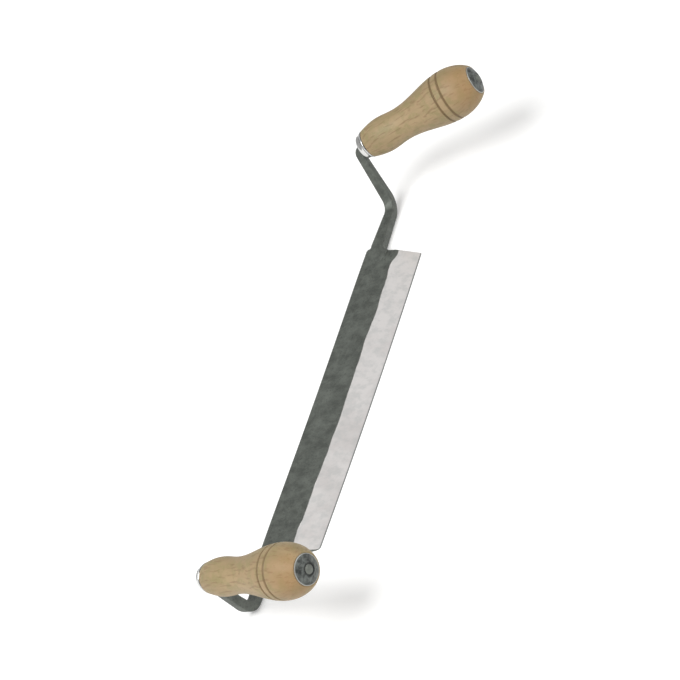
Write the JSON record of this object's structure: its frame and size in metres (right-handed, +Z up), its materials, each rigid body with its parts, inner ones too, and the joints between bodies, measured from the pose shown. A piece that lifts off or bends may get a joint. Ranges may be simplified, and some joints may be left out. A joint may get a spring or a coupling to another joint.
{
  "type": "debarking knife",
  "caption": "Two-handed debarking drawknife: straight forged blade with a ground bevel, bent tangs, turned wooden handles, ferrules and domed end caps.",
  "frame": {"origin": "centre of the blade's flat underside", "axes": "+X along the blade towards the right handle, -Y towards the cutting edge and the handles' far ends, +Z up from the flat underside to the bevelled face"},
  "size_m": [0.4862, 0.1025, 0.0854],
  "materials": {
    "forged_steel": "dark forge scale, with a bright ground bevel",
    "beech": "turned beech, thin satin lacquer",
    "plated_ferrule": "bright nickel plate",
    "dark_cap": "dark mottled iron"
  },
  "bodies": {
    "root": {"blade": "forged_steel", "handle_left": "beech", "handle_right": "beech", "ferrule_left": "plated_ferrule", "ferrule_right": "plated_ferrule", "end_cap_left": "dark_cap", "end_cap_right": "dark_cap"}
  },
  "joints": []
}
